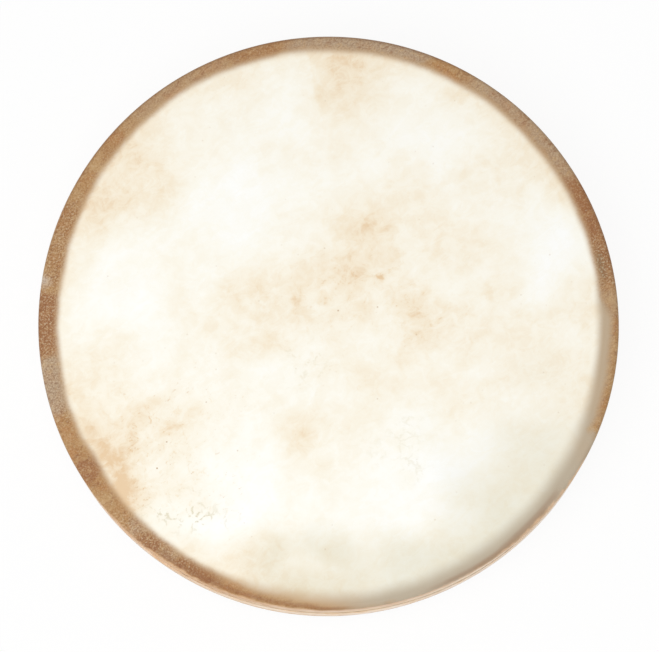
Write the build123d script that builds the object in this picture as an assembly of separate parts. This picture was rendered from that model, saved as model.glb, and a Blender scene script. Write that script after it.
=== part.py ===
from build123d import *
import os
from math import degrees, sqrt

# An ocean drum: a bent wooden hoop with a goatskin glued over each face and loose steel shot inside.
# It lies flat, +Z up, in millimetres, with its origin at the middle of the lower skin's outer face.

# Hoop, bent from thin wooden strips glued one inside the other
PLY_NAMES = ("hoop_outer_ply", "hoop_middle_ply", "hoop_inner_ply")
HOOP_DIAMETER = 398.2
HOOP_DEPTH = 58.2
PLY_THICKNESS = 3.4
PLY_GLUE_LINE = 0.1
SHOULDER_RADIUS = 2.5  # outer corner, which the skin is pulled over
INNER_BEVEL = 1.5  # inner corner, bevelled so that it can't cut the skin
END_GAP = 0.3  # glue gap where a strip's two ends meet
FIRST_END_ANGLE = 250.0  # where the outer strip's ends meet, in degrees from +X; the others are evenly apart

# Skins, each a flat membrane whose skirt is glued down the hoop's side
SKIN_THICKNESS = 0.8
SKIN_GLUE_FILM = 0.1
SKIRT_DEPTH = 22.0  # from the drum's face to the skirt's trimmed edge

# Steel shot on the lower skin, in parallel lanes along Y that end at the hoop
BALL_DIAMETER = 5.0
BALL_CLEARANCE = 0.3  # from a ball to the skin under it, and to the wall at the end of its roll
BALLS_PER_LANE = 4
BALL_SPACING = 46.0  # along a lane
BALL_SCATTER = 3.0  # how far a ball lies from its even place, along and across
LANE_COUNT = 15
LANE_SCATTER = 14.0  # how far the middle of a lane's row lies from the drum's middle
SHORTEST_ROLL = 24.0  # the outermost lanes are long enough for their rows to roll this far
SCATTER_STEP = 0.618  # part of a turn between one scattered value and the next

# Sizes that follow from those above
hoop_radius = HOOP_DIAMETER / 2
hoop_wall = len(PLY_NAMES) * PLY_THICKNESS + (len(PLY_NAMES) - 1) * PLY_GLUE_LINE
chamber_radius = hoop_radius - hoop_wall
hoop_bottom = SKIN_THICKNESS + SKIN_GLUE_FILM
hoop_top = hoop_bottom + HOOP_DEPTH
drum_depth = hoop_top + SKIN_GLUE_FILM + SKIN_THICKNESS
mid_depth = drum_depth / 2
track_radius = chamber_radius - BALL_DIAMETER / 2 - BALL_CLEARANCE
ball_height = SKIN_THICKNESS + BALL_CLEARANCE + BALL_DIAMETER / 2


def hoop_section():
    """The whole hoop's cross section, with its rounded shoulders and bevelled inner corners."""
    section = Rectangle(hoop_wall, HOOP_DEPTH)
    inner_corners = section.vertices().group_by(Axis.X)[0]
    section = chamfer(inner_corners, INNER_BEVEL)
    outer_corners = section.vertices().group_by(Axis.X)[-1]
    section = fillet(outer_corners, SHOULDER_RADIUS)
    return Pos(hoop_radius - hoop_wall / 2, mid_depth) * section


def hoop_ply(index):
    """One bent strip: its share of the hoop's section swept round the axis, open where its ends meet."""
    middle_radius = hoop_radius - PLY_THICKNESS / 2 - index * (PLY_THICKNESS + PLY_GLUE_LINE)
    strip = hoop_section() & Pos(middle_radius, mid_depth) * Rectangle(PLY_THICKNESS, HOOP_DEPTH)
    gap_angle = degrees(END_GAP / middle_radius)
    end_angle = FIRST_END_ANGLE + index * 360 / len(PLY_NAMES)
    return Rot(Z=end_angle) * revolve(Plane.XZ * strip, Axis.Z, 360 - gap_angle)


def upper_skin():
    """The upper head: a flat membrane, a bend over the hoop's shoulder, and a straight skirt."""
    inside = hoop_radius + SKIN_GLUE_FILM
    outside = inside + SKIN_THICKNESS
    bend = hoop_radius - SHOULDER_RADIUS
    bend_height = hoop_top - SHOULDER_RADIUS
    hem = drum_depth - SKIRT_DEPTH
    under = drum_depth - SKIN_THICKNESS
    centre = (bend, bend_height)
    profile = Polyline((bend, under), (0, under), (0, drum_depth), (bend, drum_depth))
    profile += CenterArc(centre, outside - bend, 0, 90)
    profile += Polyline((outside, bend_height), (outside, hem), (inside, hem), (inside, bend_height))
    profile += CenterArc(centre, inside - bend, 0, 90)
    return revolve(Plane.XZ * make_face(profile.edges()), Axis.Z)


def scatter(number):
    """A value from -1 to 1, different for each number and in no visible order."""
    return 2 * (number * SCATTER_STEP % 1) - 1


def lane_places():
    """The middle of each lane, from left to right, spread as far as the outermost rows have room to roll."""
    row_reach = (BALLS_PER_LANE - 1) / 2 * BALL_SPACING + BALL_SCATTER + LANE_SCATTER
    outermost = sqrt(track_radius**2 - (row_reach + SHORTEST_ROLL) ** 2) - BALL_SCATTER
    pitch = 2 * outermost / (LANE_COUNT - 1)
    return [lane * pitch - outermost for lane in range(LANE_COUNT)]


def ball_places(lane, lane_middle):
    """Where one lane's balls lie at rest, as (x, y)."""
    places = []
    for ball in range(BALLS_PER_LANE):
        number = lane * BALLS_PER_LANE + ball
        across = lane_middle + BALL_SCATTER * scatter(2 * number)
        along = (ball - (BALLS_PER_LANE - 1) / 2) * BALL_SPACING + BALL_SCATTER * scatter(2 * number + 1)
        places.append((across, along + LANE_SCATTER * scatter(lane)))
    return places


def lane_roll(places):
    """How far a lane's balls roll together along Y before the first of them meets the hoop."""
    back = max(-sqrt(track_radius**2 - x**2) - y for x, y in places)
    forth = min(sqrt(track_radius**2 - x**2) - y for x, y in places)
    return back, forth


def shot(places):
    """One lane's balls."""
    return Compound([Pos(x, y, ball_height) * Sphere(BALL_DIAMETER / 2) for x, y in places])


def main():
    os.makedirs("parts", exist_ok=True)
    pieces = {}
    for index, name in enumerate(PLY_NAMES):
        pieces[name] = hoop_ply(index)
    pieces["upper_skin"] = upper_skin()
    pieces["lower_skin"] = mirror(pieces["upper_skin"], Plane.XY.offset(mid_depth))
    for lane, lane_middle in enumerate(lane_places()):
        places = ball_places(lane, lane_middle)
        name = f"shot_lane_{lane + 1:02d}"
        pieces[name] = shot(places)
        back, forth = lane_roll(places)
        print(f"{name} rolls from {back:.2f} to {forth:.2f} mm")
    for name, piece in pieces.items():
        export_step(piece, f"parts/{name}.step")


main()
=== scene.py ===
import math

import bpy
import numpy as np
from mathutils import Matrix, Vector


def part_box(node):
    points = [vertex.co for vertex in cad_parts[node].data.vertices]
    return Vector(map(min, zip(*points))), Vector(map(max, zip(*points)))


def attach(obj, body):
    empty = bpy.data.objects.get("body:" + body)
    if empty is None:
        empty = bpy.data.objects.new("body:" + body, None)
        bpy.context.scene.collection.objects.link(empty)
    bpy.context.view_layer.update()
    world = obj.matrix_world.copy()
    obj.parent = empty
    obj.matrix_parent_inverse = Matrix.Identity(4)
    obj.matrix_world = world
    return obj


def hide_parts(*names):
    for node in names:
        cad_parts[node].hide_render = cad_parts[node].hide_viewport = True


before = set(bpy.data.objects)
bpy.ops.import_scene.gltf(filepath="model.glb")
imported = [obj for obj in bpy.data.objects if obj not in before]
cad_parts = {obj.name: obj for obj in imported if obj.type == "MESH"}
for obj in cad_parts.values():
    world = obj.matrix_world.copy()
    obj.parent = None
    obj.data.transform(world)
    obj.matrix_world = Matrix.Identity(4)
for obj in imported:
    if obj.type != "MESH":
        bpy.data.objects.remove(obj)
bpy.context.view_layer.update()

# An ocean drum: two goatskins glued over a bent wooden hoop, with loose steel shot inside.
# The skins are made here with their pleats and marks, and the hoop and the shot get their finishes.
# Lengths are in millimetres, and MM turns them into the scene's metres.
MM = 0.001

# Sizes taken from the frame
face_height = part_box("upper_skin")[1].z / MM
hem_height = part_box("upper_skin")[0].z / MM
hoop_radius = round(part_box("hoop_outer_ply")[1].y / MM, 1)  # rounded, because the mesh has facets
hoop_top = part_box("hoop_outer_ply")[1].z / MM
middle = face_height / 2

# Section of a skin, with heights from the drum's middle towards the skin's own face
GLUE_FILM = 0.1
SHOULDER_RADIUS = 2.5
skin_face = face_height - middle
skin_hem = hem_height - middle
skin_thickness = face_height - hoop_top - GLUE_FILM
bend_centre = hoop_radius - SHOULDER_RADIUS
bend_height = hoop_top - middle - SHOULDER_RADIUS
inner_bend = SHOULDER_RADIUS + GLUE_FILM
outer_bend = inner_bend + skin_thickness

# Brown band over the hoop's edge, a little out of round
BAND_INNER_RADIUS = 189.3
BAND_CENTRE = (0.0, -0.4, 0.0)
BAND_SQUEEZE = (1.0128, 0.9958, 0.0)

# Rings and segments of a skin's mesh
SEGMENTS = 600
DISC_STEP = 5.0
RIM_RINGS = 10
BEND_RINGS = 8
SKIRT_RINGS = 14
INSIDE_DISC_STEP = 45.0
INSIDE_RINGS = 3
SHARP_ANGLE = 50  # degrees

# Unevenness of a skin
HEM_WAVE = 1.1
HEM_WAVE_CRESTS = (3, 7, 11, 17, 29, 43)  # numbers of crests round the drum
HEM_WAVE_SHARES = (0.4, 1.0)  # least and most of one wave
HEM_THINNING = 0.35
HEM_THINNING_POWER = 6  # the higher, the nearer to the hem the thinning starts
PLEAT_COUNT = 70
PLEAT_HEIGHT = 0.7
PLEAT_WIDTHS = (0.01, 0.026)  # radians
PLEAT_SHARES = (0.25, 1.0)  # least and most of the height
SWELLS = [  # angle and half width in degrees, height
    (-20, 22, 0.9),
    (-145, 20, 0.8),
    (85, 28, 0.4),
    (-66, 20, -0.35),
    (160, 24, -0.35),
    (35, 26, -0.35),
]
FACE_WAVE = 0.22
FACE_WAVE_LENGTHS = (35, 120)
FACE_WAVE_FADE = 20  # from the band inwards
WAVE_COUNT = 14

# How far the edges of the marks are bent, and the lengths of those bends
BROAD_BEND = 12.0
BROAD_BEND_LENGTHS = (40, 110)
SLIGHT_BEND = 2.5
SLIGHT_BEND_LENGTHS = (10, 24)


# Node trees

MIX_FACTOR, MIX_A, MIX_B, MIX_RESULT = 0, 6, 7, 2  # sockets of a Mix node that mixes colours
NOISE_MIDDLE = 0.5


class Tree:
    """A node tree with short calls for the nodes used here. An input is linked if it is a socket, or set."""

    def __init__(self, owner):
        owner.use_nodes = True
        self.tree = owner.node_tree
        self.tree.nodes.clear()

    def add(self, kind, inputs=None, **settings):
        """A new node with the given inputs and settings."""
        node = self.tree.nodes.new(kind)
        for key, value in settings.items():
            setattr(node, key, value)
        for key, value in (inputs or {}).items():
            if isinstance(value, bpy.types.NodeSocket):
                self.tree.links.new(value, node.inputs[key])
            else:
                node.inputs[key].default_value = value
        return node

    def math(self, operation, a, b=0.0):
        return self.add("ShaderNodeMath", {0: a, 1: b}, operation=operation).outputs[0]

    def vector(self, operation, a, b):
        return self.add("ShaderNodeVectorMath", {0: a, 1: b}, operation=operation).outputs[0]

    def length(self, vector):
        return self.add("ShaderNodeVectorMath", {0: vector}, operation="LENGTH").outputs["Value"]

    def place(self):
        """The shaded point on its piece, in millimetres."""
        return self.vector("MULTIPLY", self.add("ShaderNodeTexCoord").outputs["Object"], (1 / MM,) * 3)

    def axis(self, vector, name):
        """One coordinate of a vector."""
        return self.add("ShaderNodeSeparateXYZ", {0: vector}).outputs[name]

    def step(self, value, start, end, low=0.0, high=1.0):
        """A smooth step from low, where value is start, to high, where value is end."""
        inputs = {"Value": value, "From Min": start, "From Max": end, "To Min": low, "To Max": high}
        return self.add("ShaderNodeMapRange", inputs, interpolation_type="SMOOTHSTEP").outputs[0]

    def noise(self, vector, size, detail, roughness=0.5, distortion=0.0, output="Fac"):
        """Noise from 0 to 1 whose features are about size across, in the vector's units."""
        inputs = {"Vector": vector, "Scale": 1.0 / size, "Detail": detail, "Roughness": roughness,
                  "Distortion": distortion}
        return self.add("ShaderNodeTexNoise", inputs).outputs[output]

    def mix(self, amount, a, b, blend="MIX"):
        """Colour a with the given amount of colour b over it."""
        inputs = {MIX_FACTOR: amount, MIX_A: a, MIX_B: b}
        return self.add("ShaderNodeMix", inputs, data_type="RGBA", blend_type=blend).outputs[MIX_RESULT]

    def ramp(self, value, stops):
        """A colour that runs through stops, each a place from 0 to 1 and a colour."""
        node = self.add("ShaderNodeValToRGB", {0: value})
        elements = node.color_ramp.elements
        while len(elements) < len(stops):
            elements.new(0.5)
        for element, (place, colour) in zip(elements, stops):
            element.position = place
            element.color = colour
        return node.outputs[0]

    def bump(self, height, strength, depth):
        """A normal tilted by a relief of the given depth in millimetres."""
        inputs = {"Height": height, "Strength": strength, "Distance": depth * MM}
        return self.add("ShaderNodeBump", inputs).outputs[0]

    def surface(self, inputs):
        """Ends a material with a principled shader."""
        shader = self.add("ShaderNodeBsdfPrincipled", inputs)
        self.add("ShaderNodeOutputMaterial", {"Surface": shader.outputs[0]})


def srgb(red, green, blue):
    """A colour written as it looks, from 0 to 255, as Blender's linear colour."""
    values = [c / 255 for c in (red, green, blue)]
    linear = [c / 12.92 if c <= 0.04045 else ((c + 0.055) / 1.055) ** 2.4 for c in values]
    return (*linear, 1.0)


def from_oval(tree, place, oval):
    """A place measured from an oval's middle, along its axes and in its half widths."""
    x, y, width, height, turn = oval
    inputs = {"Vector": place, "Location": (x, y, 0), "Rotation": (0, 0, math.radians(turn)),
              "Scale": (width, height, 1)}
    return tree.add("ShaderNodeMapping", inputs, vector_type="TEXTURE").outputs[0]


def patches(tree, place, spots):
    """The sum of soft-edged ovals."""
    total = None
    for *oval, strength in spots:
        value = tree.step(tree.length(from_oval(tree, place, oval)), 1.0, 0.0, 0.0, strength)
        total = value if total is None else tree.math("ADD", total, value)
    return total


# Colours of the goatskin

SKIN_TONES = [
    (0.00, srgb(255, 255, 252)),
    (0.28, srgb(253, 250, 239)),
    (0.52, srgb(250, 243, 226)),
    (0.76, srgb(245, 231, 206)),
    (1.00, srgb(232, 203, 165)),
]
SKIN_GREY = srgb(237, 236, 229)
SPECK_BROWN = srgb(190, 158, 120)
DASH_TAN = srgb(214, 176, 130)
CRACK_GREY = srgb(200, 188, 146)
SHADE_WARM = srgb(192, 158, 118)
SHADE_GREY = srgb(184, 170, 148)
RIM_BROWN = srgb(174, 131, 82)
RIM_ORANGE = srgb(176, 122, 70)
RIM_GOLD = srgb(190, 154, 108)
RIM_TONES = [(0.36, RIM_ORANGE), (0.5, RIM_BROWN), (0.64, RIM_GOLD)]
RIM_RED = srgb(151, 99, 57)
RIM_CLOUDY = srgb(174, 150, 124)
RIM_WORN = srgb(206, 188, 168)
RIM_SOOT = srgb(112, 98, 74)
RIM_DARK = srgb(134, 84, 47)
GRAIN_PALE = srgb(206, 186, 156)
GRAIN_DARK = srgb(122, 84, 54)
SKIRT_PALE = srgb(250, 235, 217)
SKIRT_TAN = srgb(234, 206, 172)
SKIRT_ORANGE = srgb(206, 158, 112)
SHOULDER_TAN = srgb(216, 176, 134)
HEM_BROWN = srgb(204, 164, 122)

# Patterns of the goatskin
CLOUDS = {"size": 45, "detail": 4, "roughness": 0.55, "distortion": 0.3}
WOBBLE = {"size": 24, "detail": 1}
MOTTLE = {"size": 18, "detail": 6, "roughness": 0.7}
FLAKES = {"size": 9, "detail": 6, "roughness": 0.65, "distortion": 0.6}
SCRAPES = {"size": 9, "detail": 5, "roughness": 0.6, "distortion": 0.8}
FRAY = {"size": 7, "detail": 4, "roughness": 0.65}
STREAKS = {"size": 6, "detail": 4, "roughness": 0.6}
FLECKS = {"size": 4, "detail": 3, "roughness": 0.6, "distortion": 1.0}
SCUFFS = {"size": 2.8, "detail": 4, "roughness": 0.75, "distortion": 0.8}
DASHES = {"size": 1.8, "detail": 2, "roughness": 0.6, "distortion": 0.5}
GRAIN = {"size": 1.3, "detail": 3, "roughness": 0.75}
SKIN_SEED_SHIFTS = (137.0, 71.0, 53.0)  # from one seed's pattern to the next
FRAY_REACH = (9, 9, 0)
HAIR_ANGLE = 35  # degrees; the scrapes, scuffs and dashes lie along the hair
HAIR_SCALE = (0.5, 1, 1)  # twice as long as wide
STREAK_SCALE = (1, 1, 0.16)  # upright
CRACK_CELL = 8
SPECK_CELLS = [(9, 0.82), (5, 0.9)]  # size, share of the cells that are empty
SPECK_RADIUS = 0.9
SPECK_CORE = 0.2

# How the patterns and marks show. Two or four numbers are a value's start and end, and the amounts there
# if they aren't 0 and 1.
CLOUD_TONES = (0.25, 0.75, 0.28, 0.56)
# Painted shade: the face's tone rises towards the band, where the hoop lies under the skin
EDGE_SHADE_TONES = (165, 192, 0.0, 0.2)  # radius
FLAKE_TONES = (0.25, 0.75, -0.1, 0.1)
SCRAPE_TONES = (0.48, 0.51, -0.03, 0.03)
FLECK_TONES = (0.56, 0.72, 0.0, 0.22)
CRACK_AMOUNTS = (0.13, 0.0, 0.0, 0.6)
CRACK_FLAKES = (0.48, 0.58)
DASH_AMOUNTS = (0.62, 0.72, 0.0, 0.45)
DASH_FLAKES = (0.48, 0.62)
SPECK_STRENGTH = 0.9
SPECK_LEAST = 0.3  # outside the flecked places
GREY_FULL = 0.6  # the grey mark's value from which the shade is softest and the edge isn't toned
RAGGED_FLAKES = (0.2, 0.8)
STAIN_AND_SHADE_RAGGED = 0.25
FLECK_RAGGED = 1.2
RIM_RAGGED = 0.8
FOLD_EDGE = (-0.02, 0.02)
FOLD_FADE = (1.0, 0.2)

# How far inside and outside the band's inner radius its shade and its brown start and end
SHADE_INSIDE = 4.0
SHADE_OUTSIDE = 3.5
SOFT_INSIDE = 2.5  # added to the shade where the rim is soft, as is the next
SOFT_OUTSIDE = 3.5
BROWN_INSIDE = 2.5
BROWN_OUTSIDE = 4.5

# How the band's patterns show
WOBBLE_SHIFTS = (0.2, 0.8, -0.6, 0.6)
BROWN_STRENGTH = 0.95
SCUFF_SHIFTS = (0.3, 0.7, -0.6, 0.6)
SCUFF_DARK = (0.5, 0.32, 0.0, 0.7)
SCUFF_PALE = (0.5, 0.68, 0.0, 0.6)
SOOT_GRAIN = (0.4, 0.6, 0.2, 1.0)
GRAIN_AMOUNTS = (0.0, 1.0, 0.36, 0.75)
PALE_GRAIN = (0.5, 0.66)
DARK_GRAIN = (0.5, 0.34)

# How the skirt's patterns show
SKIRT_MOTTLE = (0.4, 0.75)
SKIRT_GRAIN = (0.5, 0.75, 0.0, 0.25)
SKIRT_STREAKS = (0.48, 0.7, 0.0, 0.3)
SHOULDER_SHIFTS = (0.3, 0.7, -2.2, 2.2)
SHOULDER_AMOUNTS = (14.0, 28.5, 0.0, 0.85)  # height
HEM_STAIN = (skin_hem + 2.5, skin_hem, 0.0, 0.2)  # height
CORNER_BELOW = (-5.0, -1.5)  # way over the bend, as are the next two
CORNER_ABOVE = (2.4, -0.4)
SIDE_START = (-2.4, -6.4)
SIDE_SHIFTS = (0.3, 0.7, -1.6, 1.6)

# Gloss and relief of the goatskin
SKIN_ROUGHNESS = (0.3, 0.7, 0.5, 0.68)
SKIN_SHEEN = 0.35
SKIN_BUMP = 0.35
SKIN_RELIEF = 0.15
GRAIN_RELIEF = 0.5
STREAK_RELIEF = (26.0, 22.0)  # height

# Marks on the skins, each a soft-edged oval: x, y, half width, half height, turn in degrees, strength
# Stains of the face; the one at (-36, -174) is a painted shade inside the band at the bottom
STAINS_AND_SHADE = [
    (10, 45, 95, 50, 30, 0.24),
    (-45, 12, 60, 28, 10, 0.17),
    (35, 68, 40, 40, 0, 0.08),
    (25, 168, 60, 32, 0, 0.15),
    (30, 15, 70, 35, 0, 0.12),
    (75, 10, 45, 42, 0, 0.2),
    (-60, -18, 34, 30, 0, 0.2),
    (-128, 93, 46, 48, 0, 0.36),
    (-142, 60, 34, 32, 0, 0.14),
    (-150, -45, 45, 40, 0, 0.14),
    (-140, -88, 48, 55, 20, 0.34),
    (-90, -76, 34, 24, 0, 0.1),
    (-147, -117, 23, 56, 37, 0.34),
    # painted shade: the face darkens inside the band at the bottom
    (-36, -174, 46, 24, 0, 0.28),
    (-178, -62, 16, 40, 15, 0.22),
    (-8, -92, 36, 36, 0, 0.22),
    (56, -3, 34, 26, 0, 0.2),
    (115, -10, 60, 60, 0, 0.14),
    (70, -24, 45, 30, 0, 0.1),
    (100, 92, 55, 38, 0, 0.1),
]
CLEAR_PLACES = [
    (-75, 85, 75, 75, 0, -0.28),
    (-40, 135, 90, 40, 0, -0.12),
    (-145, 15, 50, 45, 0, -0.28),
    (155, 42, 42, 55, 0, -0.34),
    (-60, -100, 45, 66, -15, -0.3),
    (45, -110, 75, 50, 0, -0.24),
    (25, -145, 50, 40, 0, -0.2),
    (90, -100, 52, 50, 0, -0.22),
    (-80, -145, 45, 36, 0, -0.36),
    (-34, -44, 36, 28, 0, -0.2),
    (65, 130, 55, 45, 0, -0.28),
    (-75, 32, 34, 20, 0, -0.16),
    (50, -80, 32, 26, 0, -0.14),
    (105, 31, 32, 26, 0, -0.14),
]
SPOTS = [
    (30, 77, 17, 22, 0, 0.08),
    (37, 29, 5, 4, 0, 0.5),
    (79, 71, 14, 12, 0, 0.14),
    (-50, 2, 8, 6, 0, 0.2),
    (-23, 14, 7, 6, 0, 0.25),
    (-2, 15, 11, 9, 0, 0.22),
    (-12, 0, 7, 5, 0, 0.16),
    (67, 20, 6, 6, 0, 0.22),
    (60, 2, 9, 5, 0, 0.2),
    (63, -8, 11, 6, 0, 0.15),
    (50, -26, 11, 9, 0, 0.12),
    (57, -58, 7, 7, 0, 0.16),
    (-19, -83, 18, 18, 0, 0.12),
    (110, 19, 5, 12, 0, 0.14),
    (95, -24, 10, 28, -15, 0.1),
    (-107, -75, 18, 6, 15, 0.24),
    (-68, -82, 6, 15, -20, 0.16),
    (-69, -19, 9, 16, 0, 0.12),
    (-125, -61, 16, 9, 35, 0.2),
    (-137, -119, 24, 26, -30, 0.18),
    (-152, -88, 30, 34, 0, 0.12),
]
FOLD = (-10, 165, 75, 50, 12, 0.15)
GREY_PLACES = [
    (150, -125, 120, 100, 45, 0.9),
    (70, -185, 120, 62, 12, 1.0),
    # painted shade: with the stain there, the face darkens and greys inside the band at the bottom
    (-16, -177, 54, 37, 0, 0.85),
]
FLECKED_PLACES = [
    (20, 10, 120, 80, 20, 0.6),
    (-110, -90, 80, 90, 0, 1.2),
]
CRACKED_PLACES = [
    (-98, -137, 34, 30, 0, 1.2),
    (-30, -20, 30, 24, 0, 0.45),
    (50, -90, 40, 30, 0, 0.3),
]
RIM_WORN_PLACES = [(-197, 27, 9, 8, 0, 1.0)]
RIM_SOOTY_PLACES = [(188, 38, 6, 17, 12, 1.0)]
OVAL_MARKS = {
    "stain_and_shade": STAINS_AND_SHADE + CLEAR_PLACES,
    "grey": GREY_PLACES,
    "flecked": FLECKED_PLACES,
    "cracked": CRACKED_PLACES,
}

# Marks round the rim, in degrees clockwise from +X: from, to, length of the fade at each end, strength.
# In the first three lists the strength is a length: how much further out the brown starts, how much further
# in the band reaches, and how much nearer to the face the corner's dark line lies and the side starts.
RIM_BARE = [
    (-3, 24, 8, 7.2),
    (24, 41, 3, 13.0),
    (41, 62, 3, 9.4),
    (62, 76, 4, 12.5),
    (76, 89, 6, 9.0),
    (89, 97, 4, 5.4),
    (97, 107, 4, 3.4),
    (107, 113, 4, 2.0),
    (246, 352, 10, 0.6),
]
BAND_SHIFTS = [
    (-6, 22, 24, 0.3),
    (143, 153, 8, 2.2),
    (176, 206, 14, 0.7),
    (212, 246, 24, -0.5),
    (336, 354, 14, -0.8),
]
CORNER_RISES = [
    (30, 52, 10, 4.0),
    (52, 70, 10, 2.4),
    (70, 90, 10, 1.2),
    (92, 111, 6, 2.7),
    (111, 127, 8, 3.4),
    (127, 140, 8, 1.8),
]
RIM_RED_SPANS = [
    (112, 122, 4, 0.8),
    (125.5, 130.5, 2, 1.0),
    (146, 150, 2, 1.0),
    (173, 186, 2, 1.0),
    (190, 206, 6, 0.3),
    (216, 224, 4, 0.25),
    (250, 262, 6, 0.5),
    (329, 343, 2, 0.95),
    (343, 353, 4, 0.7),
]
RIM_CLOUDY_SPANS = [
    (122.5, 125, 2, 0.5),
    (131, 134, 2, 0.6),
    (161, 172.5, 3, 1.0),
    (226, 250, 8, 0.4),
    (262, 291, 4, 1.0),
    (300, 329, 5, 0.7),
    (354, 360, 4, 0.35),
]
RIM_ASHEN_SPANS = [
    (-8, 25, 8, 0.65),
    (25, 86, 16, 1.0),
]
RIM_SPECKLED_SPANS = [
    (62, 76, 6, 0.5),
    (118, 136, 6, 1.0),
    (158, 206, 8, 0.8),
    (264, 290, 8, 0.4),
    (342, 354, 4, 0.9),
]
CORNER_SPANS = [
    (38, 68, 8, 0.38),
    (86, 128, 10, 0.45),
    (172, 184, 4, 0.2),
    (206, 302, 14, 0.4),
    (328, 348, 8, 0.2),
]
SKIRT_ORANGE_SPANS = [
    (70, 102, 24, 0.5),
    (102, 146, 14, 1.0),
    (250, 305, 50, 0.4),
]
RIM_MARKS = {
    "bare": RIM_BARE,
    "band_shift": BAND_SHIFTS,
    "corner_rise": CORNER_RISES,
    "red": RIM_RED_SPANS,
    "cloudy": RIM_CLOUDY_SPANS,
    "ashen": RIM_ASHEN_SPANS,
    "speckled": RIM_SPECKLED_SPANS,
    "corner": CORNER_SPANS,
    "skirt_orange": SKIRT_ORANGE_SPANS,
}


# Goatskin

def turned(spots, degrees):
    """The same oval marks turned about the drum's middle."""
    c, s = math.cos(math.radians(degrees)), math.sin(math.radians(degrees))
    return [(x * c - y * s, x * s + y * c, width, height, turn + degrees, strength)
            for x, y, width, height, turn, strength in spots]


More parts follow.
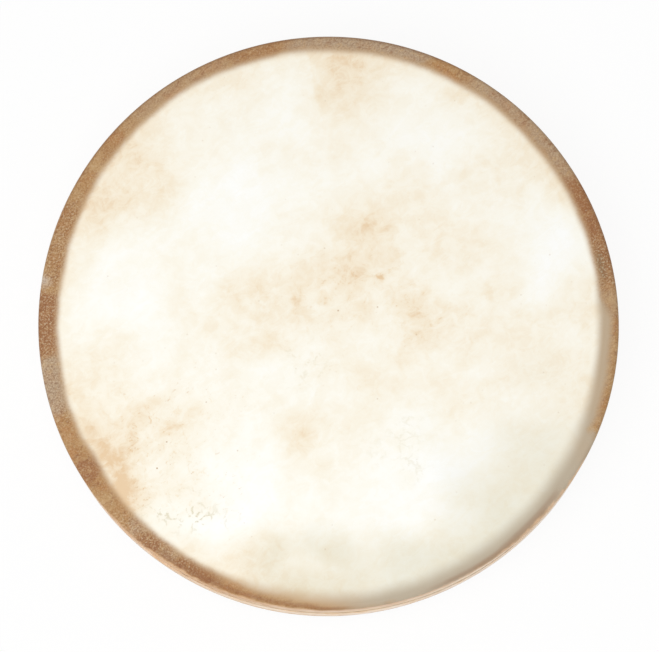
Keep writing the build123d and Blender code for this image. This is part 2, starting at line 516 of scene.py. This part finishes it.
class Goatskin:
    """Stretched goatskin: clouded cream on the face, brown over the hoop, pale tan down the skirt."""

    def __init__(self, name, seed, turn):
        self.material = bpy.data.materials.new(name)
        self.turn = turn
        tree = self.tree = Tree(self.material)
        place = tree.place()
        self.flat = tree.vector("MULTIPLY", place, (1, 1, 0))
        self.radius = tree.length(self.flat)
        self.height = tree.math("ABSOLUTE", tree.math("SUBTRACT", tree.axis(place, "Z"), middle))
        self.moved = tree.vector("ADD", place, tuple(seed * shift for shift in SKIN_SEED_SHIFTS))
        self.flakes = tree.noise(self.moved, **FLAKES)
        self.mottle = tree.noise(self.moved, **MOTTLE)
        self.grain = tree.noise(self.moved, **GRAIN)
        self.streaks = tree.noise(tree.vector("MULTIPLY", self.moved, STREAK_SCALE), **STREAKS)
        fray = tree.vector("SUBTRACT", tree.noise(self.moved, **FRAY, output="Color"), (NOISE_MIDDLE,) * 3)
        self.bent = tree.vector("ADD", self.flat, tree.vector("MULTIPLY", fray, FRAY_REACH))
        inputs = {"Vector": self.moved, "Rotation": (0, 0, math.radians(-HAIR_ANGLE))}
        along_hair = tree.add("ShaderNodeMapping", inputs).outputs[0]
        self.hair = tree.vector("MULTIPLY", along_hair, HAIR_SCALE)
        self.flecked = self.ragged("flecked", FLECK_RAGGED)

    def mark(self, name):
        """How strongly the skin carries one kind of mark, as written on its mesh."""
        return self.tree.add("ShaderNodeAttribute", attribute_name=name).outputs["Fac"]

    def ragged(self, name, amount):
        """A mark broken up by the skin's flakes."""
        tree = self.tree
        broken = tree.step(self.flakes, *RAGGED_FLAKES, 1 - amount / 2, 1 + amount / 2)
        return tree.math("MULTIPLY", self.mark(name), broken)

    def spotted(self, spots):
        """Oval marks with frayed edges."""
        return patches(self.tree, self.bent, turned(spots, self.turn))

    def tone(self):
        """How dark the face is, from 0 for white to 1 for tan."""
        tree = self.tree
        # painted shade of the hoop: the face darkens towards the band
        edge = tree.step(self.radius, *EDGE_SHADE_TONES)
        flecks = tree.step(tree.noise(self.moved, **FLECKS), *FLECK_TONES)
        total = tree.step(tree.noise(self.moved, **CLOUDS), *CLOUD_TONES)
        for tone in (
            self.ragged("stain_and_shade", STAIN_AND_SHADE_RAGGED),
            self.spotted(SPOTS),
            tree.math("MULTIPLY", edge, tree.step(self.mark("grey"), GREY_FULL, 0.0)),
            tree.step(self.flakes, *FLAKE_TONES),
            tree.step(tree.noise(self.hair, **SCRAPES), *SCRAPE_TONES),
            self.fold(),
            tree.math("MULTIPLY", flecks, self.flecked),
        ):
            total = tree.math("ADD", total, tone)
        return total

    def fold(self):
        """A faint straight edge in the skin, darker on one side."""
        tree = self.tree
        *oval, strength = turned([FOLD], self.turn)[0]
        place = from_oval(tree, self.bent, oval)
        fade = tree.step(tree.length(place), *FOLD_FADE, 0.0, strength)
        return tree.math("MULTIPLY", tree.step(tree.axis(place, "X"), *FOLD_EDGE), fade)

    def cracks(self):
        """Fine crazing in the cracked places."""
        tree = self.tree
        inputs = {"Vector": self.bent, "Scale": 1 / CRACK_CELL}
        distance = tree.add("ShaderNodeTexVoronoi", inputs, feature="DISTANCE_TO_EDGE").outputs["Distance"]
        lines = tree.math("MULTIPLY", tree.step(distance, *CRACK_AMOUNTS), self.mark("cracked"))
        return tree.math("MULTIPLY", lines, tree.step(self.flakes, *CRACK_FLAKES))

    def dashes(self):
        """Short strokes along the hair in the flecked places."""
        tree = self.tree
        strokes = tree.step(tree.noise(self.hair, **DASHES), *DASH_AMOUNTS)
        strokes = tree.math("MULTIPLY", strokes, self.flecked)
        return tree.math("MULTIPLY", strokes, tree.step(self.flakes, *DASH_FLAKES))

    def specks(self, cell, empty_share):
        """Small round specks, stronger in the flecked places."""
        tree = self.tree
        cells = tree.add("ShaderNodeTexVoronoi", {"Vector": self.moved, "Scale": 1 / cell}).outputs
        dots = tree.step(cells["Distance"], SPECK_RADIUS / cell, SPECK_CORE / cell)
        chance = tree.add("ShaderNodeSeparateColor", {0: cells["Color"]}).outputs[0]
        dots = tree.math("MULTIPLY", dots, tree.step(chance, empty_share, 1.0, 0.0, SPECK_STRENGTH))
        return tree.math("MULTIPLY", dots, tree.math("ADD", self.flecked, SPECK_LEAST))

    def face(self):
        """The clouded face, with small cracks, dashes and specks."""
        tree = self.tree
        colour = tree.ramp(self.tone(), SKIN_TONES)
        colour = tree.mix(self.mark("grey"), colour, SKIN_GREY, "MULTIPLY")
        colour = tree.mix(self.cracks(), colour, CRACK_GREY)
        colour = tree.mix(self.dashes(), colour, DASH_TAN)
        for cell, empty_share in SPECK_CELLS:
            colour = tree.mix(self.specks(cell, empty_share), colour, SPECK_BROWN)
        return colour

    def band_radius(self):
        """The distance from the band's middle, allowing for the band's uneven round."""
        tree = self.tree
        offset = tree.vector("SUBTRACT", self.flat, BAND_CENTRE)
        radius = tree.length(tree.vector("MULTIPLY", offset, BAND_SQUEEZE))
        radius = tree.math("ADD", radius, tree.step(tree.noise(self.moved, **WOBBLE), *WOBBLE_SHIFTS))
        return tree.math("ADD", radius, self.mark("band_shift"))

    def shaded(self, face, radius):
        """The face with the hoop's shade along the band, wider and softer in the grey places."""
        tree = self.tree
        soft = tree.step(self.mark("grey"), 0.0, GREY_FULL)
        more_inside = tree.math("MULTIPLY", soft, SOFT_INSIDE)
        more_outside = tree.math("MULTIPLY", soft, SOFT_OUTSIDE)
        start = tree.math("SUBTRACT", BAND_INNER_RADIUS - SHADE_INSIDE, more_inside)
        end = tree.math("ADD", BAND_INNER_RADIUS + SHADE_OUTSIDE, more_outside)
        shade = tree.mix(self.mark("ashen"), SHADE_WARM, SHADE_GREY)
        return tree.mix(tree.step(radius, start, end), face, shade)

    def brown(self, scuffs):
        """The mottled, scuffed brown of the band."""
        tree = self.tree
        colour = tree.ramp(self.mottle, RIM_TONES)
        colour = tree.mix(self.ragged("red", RIM_RAGGED), colour, RIM_RED)
        colour = tree.mix(self.ragged("cloudy", RIM_RAGGED), colour, RIM_CLOUDY)
        colour = tree.mix(tree.step(scuffs, *SCUFF_DARK), colour, RIM_DARK)
        colour = tree.mix(tree.step(scuffs, *SCUFF_PALE), colour, RIM_GOLD)
        soot = tree.math("MULTIPLY", self.spotted(RIM_SOOTY_PLACES), tree.step(self.grain, *SOOT_GRAIN))
        colour = tree.mix(soot, colour, RIM_SOOT)
        return tree.mix(self.spotted(RIM_WORN_PLACES), colour, RIM_WORN)

    def rim(self, face):
        """The face with the band over the hoop's edge: its shade, its brown and a fine grain."""
        tree = self.tree
        radius = self.band_radius()
        colour = self.shaded(face, radius)
        scuffs = tree.noise(self.hair, **SCUFFS)
        scuffed = tree.math("ADD", radius, tree.step(scuffs, *SCUFF_SHIFTS))
        start = tree.math("ADD", self.mark("bare"), BAND_INNER_RADIUS - BROWN_INSIDE)
        end = tree.math("ADD", self.mark("bare"), BAND_INNER_RADIUS + BROWN_OUTSIDE)
        stained = tree.step(scuffed, start, end)
        colour = tree.mix(tree.math("MULTIPLY", stained, BROWN_STRENGTH), colour, self.brown(scuffs))
        grained = tree.math("MULTIPLY", stained, tree.step(self.mark("speckled"), *GRAIN_AMOUNTS))
        pale = tree.math("MULTIPLY", tree.step(self.grain, *PALE_GRAIN), grained)
        dark = tree.math("MULTIPLY", tree.step(self.grain, *DARK_GRAIN), grained)
        return tree.mix(dark, tree.mix(pale, colour, GRAIN_PALE), GRAIN_DARK)

    def side(self):
        """The skirt down the hoop's side, faintly streaked, browner at the shoulder and the glued hem."""
        tree = self.tree
        colour = tree.mix(tree.step(self.mottle, *SKIRT_MOTTLE), SKIRT_PALE, SKIRT_TAN)
        colour = tree.mix(self.ragged("skirt_orange", RIM_RAGGED), colour, SKIRT_ORANGE)
        colour = tree.mix(tree.step(self.grain, *SKIRT_GRAIN), colour, SKIRT_TAN)
        colour = tree.mix(tree.step(self.streaks, *SKIRT_STREAKS), colour, SKIRT_TAN)
        shoulder = tree.math("ADD", self.height, tree.step(self.streaks, *SHOULDER_SHIFTS))
        colour = tree.mix(tree.step(shoulder, *SHOULDER_AMOUNTS), colour, SHOULDER_TAN)
        return tree.mix(tree.step(self.height, *HEM_STAIN), colour, HEM_BROWN)

    def bend_way(self):
        """The way over the bend: below 0 towards the skirt, above 0 towards the face."""
        tree = self.tree
        way = tree.math("SUBTRACT", self.height, self.radius)
        way = tree.math("SUBTRACT", way, bend_height - bend_centre)
        return tree.math("SUBTRACT", way, self.mark("corner_rise"))

    def colour(self):
        """The face, the rim, a dark line along the corner, and the side below it."""
        tree = self.tree
        way = self.bend_way()
        corner = tree.math("MULTIPLY", tree.step(way, *CORNER_BELOW), tree.step(way, *CORNER_ABOVE))
        corner = tree.math("MULTIPLY", corner, self.mark("corner"))
        colour = tree.mix(corner, self.rim(self.face()), RIM_DARK)
        ragged_way = tree.math("ADD", way, tree.step(self.flakes, *SIDE_SHIFTS))
        return tree.mix(tree.step(ragged_way, *SIDE_START), colour, self.side())

    def relief(self):
        """Grain and flakes all over, and upright streaks down the skirt."""
        tree = self.tree
        relief = tree.math("ADD", tree.math("MULTIPLY", self.grain, GRAIN_RELIEF), self.flakes)
        streaks = tree.math("MULTIPLY", self.streaks, tree.step(self.height, *STREAK_RELIEF))
        return tree.math("ADD", relief, streaks)

    def build(self):
        """The finished material."""
        tree = self.tree
        tree.surface({
            "Base Color": self.colour(),
            "Roughness": tree.step(self.flakes, *SKIN_ROUGHNESS),
            "Specular IOR Level": SKIN_SHEEN,
            "Normal": tree.bump(self.relief(), SKIN_BUMP, SKIN_RELIEF),
        })
        return self.material


# Wood and steel

WOOD_PALE = srgb(243, 222, 190)
WOOD_MID = srgb(233, 204, 164)
WOOD_DARK = srgb(192, 152, 108)
WOOD_TONES = [(0.3, WOOD_PALE), (0.55, WOOD_MID), (0.75, WOOD_PALE)]
GLUE_AMBER = srgb(176, 128, 78)
WOOD_SEED_SHIFTS = (91.0, 47.0, 29.0)
WOOD_FIGURE = {"size": 1.0, "detail": 3, "roughness": 0.5, "distortion": 0.6}
WOOD_STREAKS = {"size": 1.0, "detail": 5, "roughness": 0.7}
WOOD_PORES = {"size": 1.0, "detail": 2, "roughness": 0.6}
WOOD_FIGURE_SCALE = (0.012, 0.012, 0.12)  # coarse round the hoop and fine up it, as are the next two
WOOD_STREAK_SCALE = (0.02, 0.02, 0.9)
WOOD_PORE_SCALE = (0.1, 0.1, 2.2)
STREAK_MID = (0.48, 0.62, 0.0, 0.6)
STREAK_DARK = (0.55, 0.7, 0.0, 0.5)
PORE_DARK = (0.58, 0.7, 0.0, 0.6)
GLUE_WAVE = 4.0
GLUE_AMOUNTS = (skin_hem - 2.6, skin_hem - 0.4, 0.0, 0.3)  # height
WOOD_ROUGHNESS = (0.3, 0.7, 0.48, 0.62)
WOOD_BUMP = 0.3
WOOD_RELIEF = 0.12

STEEL_TONES = [(0.3, srgb(196, 198, 202)), (0.7, srgb(222, 224, 226))]
STEEL_SCUFFS = {"size": 1.5, "detail": 4, "roughness": 0.7}
STEEL_ROUGHNESS = (0.35, 0.7, 0.12, 0.34)


def bent_wood(name, seed):
    """Pale wood whose grain runs round the hoop, stained where the skins' glue has crept out."""
    material = bpy.data.materials.new(name)
    tree = Tree(material)
    place = tree.place()
    moved = tree.vector("ADD", place, tuple(seed * shift for shift in WOOD_SEED_SHIFTS))
    figure = tree.noise(tree.vector("MULTIPLY", moved, WOOD_FIGURE_SCALE), **WOOD_FIGURE)
    streaks = tree.noise(tree.vector("MULTIPLY", moved, WOOD_STREAK_SCALE), **WOOD_STREAKS)
    pores = tree.noise(tree.vector("MULTIPLY", moved, WOOD_PORE_SCALE), **WOOD_PORES)
    colour = tree.ramp(figure, WOOD_TONES)
    colour = tree.mix(tree.step(streaks, *STREAK_MID), colour, WOOD_MID)
    colour = tree.mix(tree.step(streaks, *STREAK_DARK), colour, WOOD_DARK)
    colour = tree.mix(tree.step(pores, *PORE_DARK), colour, WOOD_DARK)
    height = tree.math("ABSOLUTE", tree.math("SUBTRACT", tree.axis(place, "Z"), middle))
    wave = tree.math("MULTIPLY", tree.math("SUBTRACT", figure, NOISE_MIDDLE), GLUE_WAVE)
    glue = tree.step(tree.math("ADD", height, wave), *GLUE_AMOUNTS)
    tree.surface({
        "Base Color": tree.mix(glue, colour, GLUE_AMBER),
        "Roughness": tree.step(streaks, *WOOD_ROUGHNESS),
        "Normal": tree.bump(pores, WOOD_BUMP, WOOD_RELIEF),
    })
    return material


def ball_steel():
    """Polished steel, faintly scuffed from rolling."""
    material = bpy.data.materials.new("ball_steel")
    tree = Tree(material)
    scuffs = tree.noise(tree.place(), **STEEL_SCUFFS)
    tree.surface({
        "Base Color": tree.ramp(scuffs, STEEL_TONES),
        "Metallic": 1.0,
        "Roughness": tree.step(scuffs, *STEEL_ROUGHNESS),
    })
    return material


# Skins

def ring_wave(angles, random):
    """A random wave round the drum, from -1 to 1."""
    wave = np.zeros_like(angles)
    for crests in HEM_WAVE_CRESTS:
        wave += random.uniform(*HEM_WAVE_SHARES) * np.sin(crests * angles + random.uniform(0, 2 * math.pi))
    return wave / np.abs(wave).max()


def swelling(angles):
    """How far the skin stands out from the round."""
    out = np.zeros_like(angles)
    for at, width, height in SWELLS:
        apart = np.degrees(np.angle(np.exp(1j * (angles - math.radians(at)))))
        out += height * np.exp(-((apart / width) ** 2))
    return out


def pleats(angles, random):
    """Small upright puckers where the skin was drawn in, from 0 to 1."""
    height = np.zeros_like(angles)
    for _ in range(PLEAT_COUNT):
        at = random.uniform(0, 2 * math.pi)
        width = random.uniform(*PLEAT_WIDTHS)
        apart = np.angle(np.exp(1j * (angles - at)))
        height = np.maximum(height, random.uniform(*PLEAT_SHARES) * np.exp(-((apart / width) ** 2)))
    return height


def waves(x, y, seed, shortest, longest):
    """A smooth random unevenness, from -1 to 1, made of waves between two lengths."""
    random = np.random.default_rng(seed)
    total = np.zeros_like(x)
    for _ in range(WAVE_COUNT):
        turn, start = random.uniform(0, 2 * math.pi, 2)
        along = x * math.cos(turn) + y * math.sin(turn)
        total += np.sin(along * 2 * math.pi / random.uniform(shortest, longest) + start)
    return np.clip(total / WAVE_COUNT**0.5, -1, 1)


def smooth(inside):
    """A smooth step from 0 to 1."""
    inside = np.clip(inside, 0, 1)
    return inside**2 * (3 - 2 * inside)


def ovals(spots, x, y):
    """The sum of soft-edged ovals at the given points."""
    total = np.zeros_like(x)
    for at_x, at_y, width, height, turn, strength in spots:
        c, s = math.cos(math.radians(turn)), math.sin(math.radians(turn))
        across = ((x - at_x) * c + (y - at_y) * s) / width
        along = ((y - at_y) * c - (x - at_x) * s) / height
        total += strength * smooth(1 - np.hypot(across, along))
    return total


def arcs(spans, x, y):
    """The sum of soft-ended spans round the rim at the given points."""
    angle = -np.degrees(np.arctan2(y, x))
    total = np.zeros_like(x)
    for start, end, fade, strength in spans:
        half = (end - start) / 2
        apart = np.abs((angle - start - half + 180) % 360 - 180)
        total += strength * smooth((half - apart) / fade + 0.5)
    return total


def write_marks(mesh, points, seed, turn):
    """Writes the marks on a skin's points, with uneven edges and turned about the drum's middle."""
    c, s = math.cos(math.radians(turn)), math.sin(math.radians(turn))
    x, y = points[:, 0] * c + points[:, 1] * s, points[:, 1] * c - points[:, 0] * s
    broad_x, broad_y = (BROAD_BEND * waves(x, y, seed + i, *BROAD_BEND_LENGTHS) for i in (1, 2))
    slight_x, slight_y = (SLIGHT_BEND * waves(x, y, seed + i, *SLIGHT_BEND_LENGTHS) for i in (3, 4))
    values = {name: ovals(spots, x + broad_x, y + broad_y) for name, spots in OVAL_MARKS.items()}
    values |= {name: arcs(spans, x + slight_x, y + slight_y) for name, spans in RIM_MARKS.items()}
    for name, value in values.items():
        mesh.attributes.new(name, "FLOAT", "POINT").data.foreach_set("value", value.astype(np.float32))


def skin_section(bend, disc_step, rim_rings, skirt_rings):
    """One side of a skin's section, from its middle to its hem, as columns.

    They are the radius, the height above the bend's end, and the share of the way down the skirt.
    """
    disc = np.arange(disc_step, BAND_INNER_RADIUS - disc_step / 2, disc_step)
    rim = np.linspace(BAND_INNER_RADIUS, bend_centre, rim_rings)
    turns = np.radians(np.linspace(90, 0, BEND_RINGS + 1)[1:])
    shares = np.linspace(0, 1, skirt_rings + 1)[1:]
    wall = np.full(skirt_rings, bend_centre + bend)
    flat = np.full(len(disc) + rim_rings, bend_height + bend)
    radius = np.concatenate([disc, rim, bend_centre + bend * np.cos(turns), wall])
    height = np.concatenate([flat, bend_height + bend * np.sin(turns), np.full(skirt_rings, bend_height)])
    share = np.concatenate([np.zeros(len(flat) + BEND_RINGS), shares])
    return radius[:, None], height[:, None], share[:, None]


def outer_points(seed, angles, hem, puckers):
    """The outside of a skin as rings of (x, y, height) from the middle to the hem."""
    radius, height, share = skin_section(outer_bend, DISC_STEP, RIM_RINGS, SKIRT_RINGS)
    at_rim = np.clip((radius - BAND_INNER_RADIUS) / (bend_centre - BAND_INNER_RADIUS), 0, 1)
    on_face = np.clip((BAND_INNER_RADIUS - radius) / FACE_WAVE_FADE, 0, 1)
    thinning = HEM_THINNING * share**HEM_THINNING_POWER
    out = radius - thinning + at_rim * swelling(angles) + share * puckers
    x, y = out * np.cos(angles), out * np.sin(angles)
    dip = FACE_WAVE * (0.5 + 0.5 * waves(x, y, seed, *FACE_WAVE_LENGTHS))
    return np.stack([x, y, height + share * (hem - height) - dip * on_face], axis=2)


def inner_points(angles, hem):
    """The inside of a skin, plain, as rings of (x, y, height) from the middle to the hem."""
    radius, height, share = skin_section(inner_bend, INSIDE_DISC_STEP, INSIDE_RINGS, INSIDE_RINGS)
    x, y, level = radius * np.cos(angles), radius * np.sin(angles), height + share * (hem - height)
    return np.stack([x, y, level], axis=2)


def shell_faces(ring_count):
    """The faces of a closed shell: rings joined in turn, and a point at each end that closes it."""
    faces = []
    last_ring = (ring_count - 1) * SEGMENTS
    first_point = ring_count * SEGMENTS
    for a in range(SEGMENTS):
        b = (a + 1) % SEGMENTS
        faces.append((first_point, a, b))
        faces.append((first_point + 1, last_ring + b, last_ring + a))
    for start in range(0, last_ring, SEGMENTS):
        for a in range(SEGMENTS):
            b = (a + 1) % SEGMENTS
            faces.append((start + a, start + SEGMENTS + a, start + SEGMENTS + b, start + b))
    return faces


def skin(name, seed, up, material, turn):
    """A glued goatskin as a closed shell: a flat face, a bend over the hoop and a trimmed skirt."""
    random = np.random.default_rng(seed)
    angles = np.arange(SEGMENTS) * 2 * math.pi / SEGMENTS
    hem = skin_hem + HEM_WAVE * ring_wave(angles, random)
    puckers = PLEAT_HEIGHT * pleats(angles, random)
    rings = np.concatenate([outer_points(seed, angles, hem, puckers), inner_points(angles, hem)[::-1]])
    middle_points = [[0, 0, skin_face - FACE_WAVE / 2], [0, 0, skin_face - skin_thickness]]
    points = np.concatenate([rings.reshape(-1, 3), middle_points])
    faces = shell_faces(len(rings))
    if not up:
        points[:, 2] *= -1
        faces = [face[::-1] for face in faces]
    points[:, 2] += middle
    mesh = bpy.data.meshes.new(name)
    mesh.from_pydata((points * MM).tolist(), [], faces)
    mesh.polygons.foreach_set("use_smooth", [True] * len(mesh.polygons))
    mesh.set_sharp_from_angle(angle=math.radians(SHARP_ANGLE))
    write_marks(mesh, points, seed, turn)
    mesh.materials.append(material)
    return add_object(name, mesh)


def add_object(name, data):
    """A new object in the scene."""
    piece = bpy.data.objects.new(name, data)
    bpy.context.scene.collection.objects.link(piece)
    return piece


def dress_skin(piece, node):
    """Attaches a skin to the drum's body and hides the CAD part it stands in for."""
    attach(piece, "drum")
    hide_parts(node)


UPPER_TURN = 0  # degrees that the marks are turned by
LOWER_TURN = 140
upper_material = Goatskin("goatskin_upper", seed=1, turn=UPPER_TURN).build()
lower_material = Goatskin("goatskin_lower", seed=5, turn=LOWER_TURN).build()
upper = skin("upper_goatskin", seed=11, up=True, material=upper_material, turn=UPPER_TURN)
lower = skin("lower_goatskin", seed=23, up=False, material=lower_material, turn=LOWER_TURN)
dress_skin(upper, "upper_skin")
dress_skin(lower, "lower_skin")


# Finishes of the hoop and the shot

def finish_node(node, material):
    """Gives a CAD node its material."""
    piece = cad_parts[node]
    piece.data.materials.clear()
    piece.data.materials.append(material)


for seed, ply in enumerate(("hoop_outer_ply", "hoop_middle_ply", "hoop_inner_ply")):
    finish_node(ply, bent_wood(f"bent_wood_{seed + 1}", seed))
steel = ball_steel()
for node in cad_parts:
    if node.startswith("shot_lane"):
        finish_node(node, steel)


# Floor, light and camera

WHITE = (1, 1, 1, 1)
FLOOR_WHITE = (0.94, 0.94, 0.94, 1)
FLOOR_SIZE = 8000
FLOOR_DROP = 0.4
FLOOR_GLOW = (350, 1600, 0.9, 1.0)  # distance from the drum's middle, share of the glow
WORLD_LIGHT = 0.6
KEY_POWER = 27.0
KEY_SIZE = 1800
KEY_PLACE = (-600, -800, 2100)
CAMERA_ELEVATION = 81.2  # degrees
CAMERA_DISTANCE = 2500
CAMERA_SENSOR = 36
CAMERA_LENS = 196.0
CAMERA_TARGET = (0.9, 0.2, 30)


def seen_directly(tree):
    """1 for rays that show the background itself: the camera's, and those in metal and glass."""
    ray = tree.add("ShaderNodeLightPath").outputs
    either = tree.math("MAXIMUM", ray["Is Camera Ray"], ray["Is Glossy Ray"])
    return tree.math("MAXIMUM", either, ray["Is Transmission Ray"])


def white_floor():
    """Matt white that catches a faint shadow by the drum and glows like the background further out."""
    material = bpy.data.materials.new("white_floor")
    tree = Tree(material)
    matt = tree.add("ShaderNodeBsdfDiffuse", {"Color": FLOOR_WHITE}).outputs[0]
    glow = tree.add("ShaderNodeEmission", {"Color": WHITE, "Strength": 1.0}).outputs[0]
    glow_share = tree.step(tree.length(tree.place()), *FLOOR_GLOW)
    amount = tree.math("MULTIPLY", seen_directly(tree), glow_share)
    mixed = tree.add("ShaderNodeMixShader", {0: amount, 1: matt, 2: glow})
    tree.add("ShaderNodeOutputMaterial", {"Surface": mixed.outputs[0]})
    return material


def floor():
    """A large square just under the drum."""
    mesh = bpy.data.meshes.new("floor")
    half = FLOOR_SIZE / 2 * MM
    corners = [(-half, -half), (half, -half), (half, half), (-half, half)]
    mesh.from_pydata([(x, y, -FLOOR_DROP * MM) for x, y in corners], [], [(0, 1, 2, 3)])
    mesh.materials.append(white_floor())
    add_object("floor", mesh)


def studio_light():
    """An even white surround and one large lamp."""
    world = bpy.data.worlds.new("studio")
    bpy.context.scene.world = world
    tree = Tree(world)
    light = tree.add("ShaderNodeBackground", {"Color": WHITE, "Strength": WORLD_LIGHT}).outputs[0]
    white = tree.add("ShaderNodeBackground", {"Color": WHITE, "Strength": 1.0}).outputs[0]
    mixed = tree.add("ShaderNodeMixShader", {0: seen_directly(tree), 1: light, 2: white})
    tree.add("ShaderNodeOutputWorld", {"Surface": mixed.outputs[0]})
    lamp = bpy.data.lights.new("key", "AREA")
    lamp.energy = KEY_POWER
    lamp.size = KEY_SIZE * MM
    piece = add_object("key", lamp)
    piece.location = Vector(KEY_PLACE) * MM
    piece.rotation_euler = (-Vector(KEY_PLACE)).to_track_quat("-Z", "Y").to_euler()


def camera():
    """A long lens high in front of the drum."""
    data = bpy.data.cameras.new("camera")
    data.sensor_width = CAMERA_SENSOR
    data.lens = CAMERA_LENS
    tilt = math.radians(CAMERA_ELEVATION)
    back = Vector((0, -math.cos(tilt), math.sin(tilt)))
    piece = add_object("camera", data)
    piece.location = (Vector(CAMERA_TARGET) + back * CAMERA_DISTANCE) * MM
    piece.rotation_euler = (-back).to_track_quat("-Z", "Y").to_euler()
    bpy.context.scene.camera = piece


floor()
studio_light()
camera()
bpy.context.scene.view_settings.view_transform = "Standard"
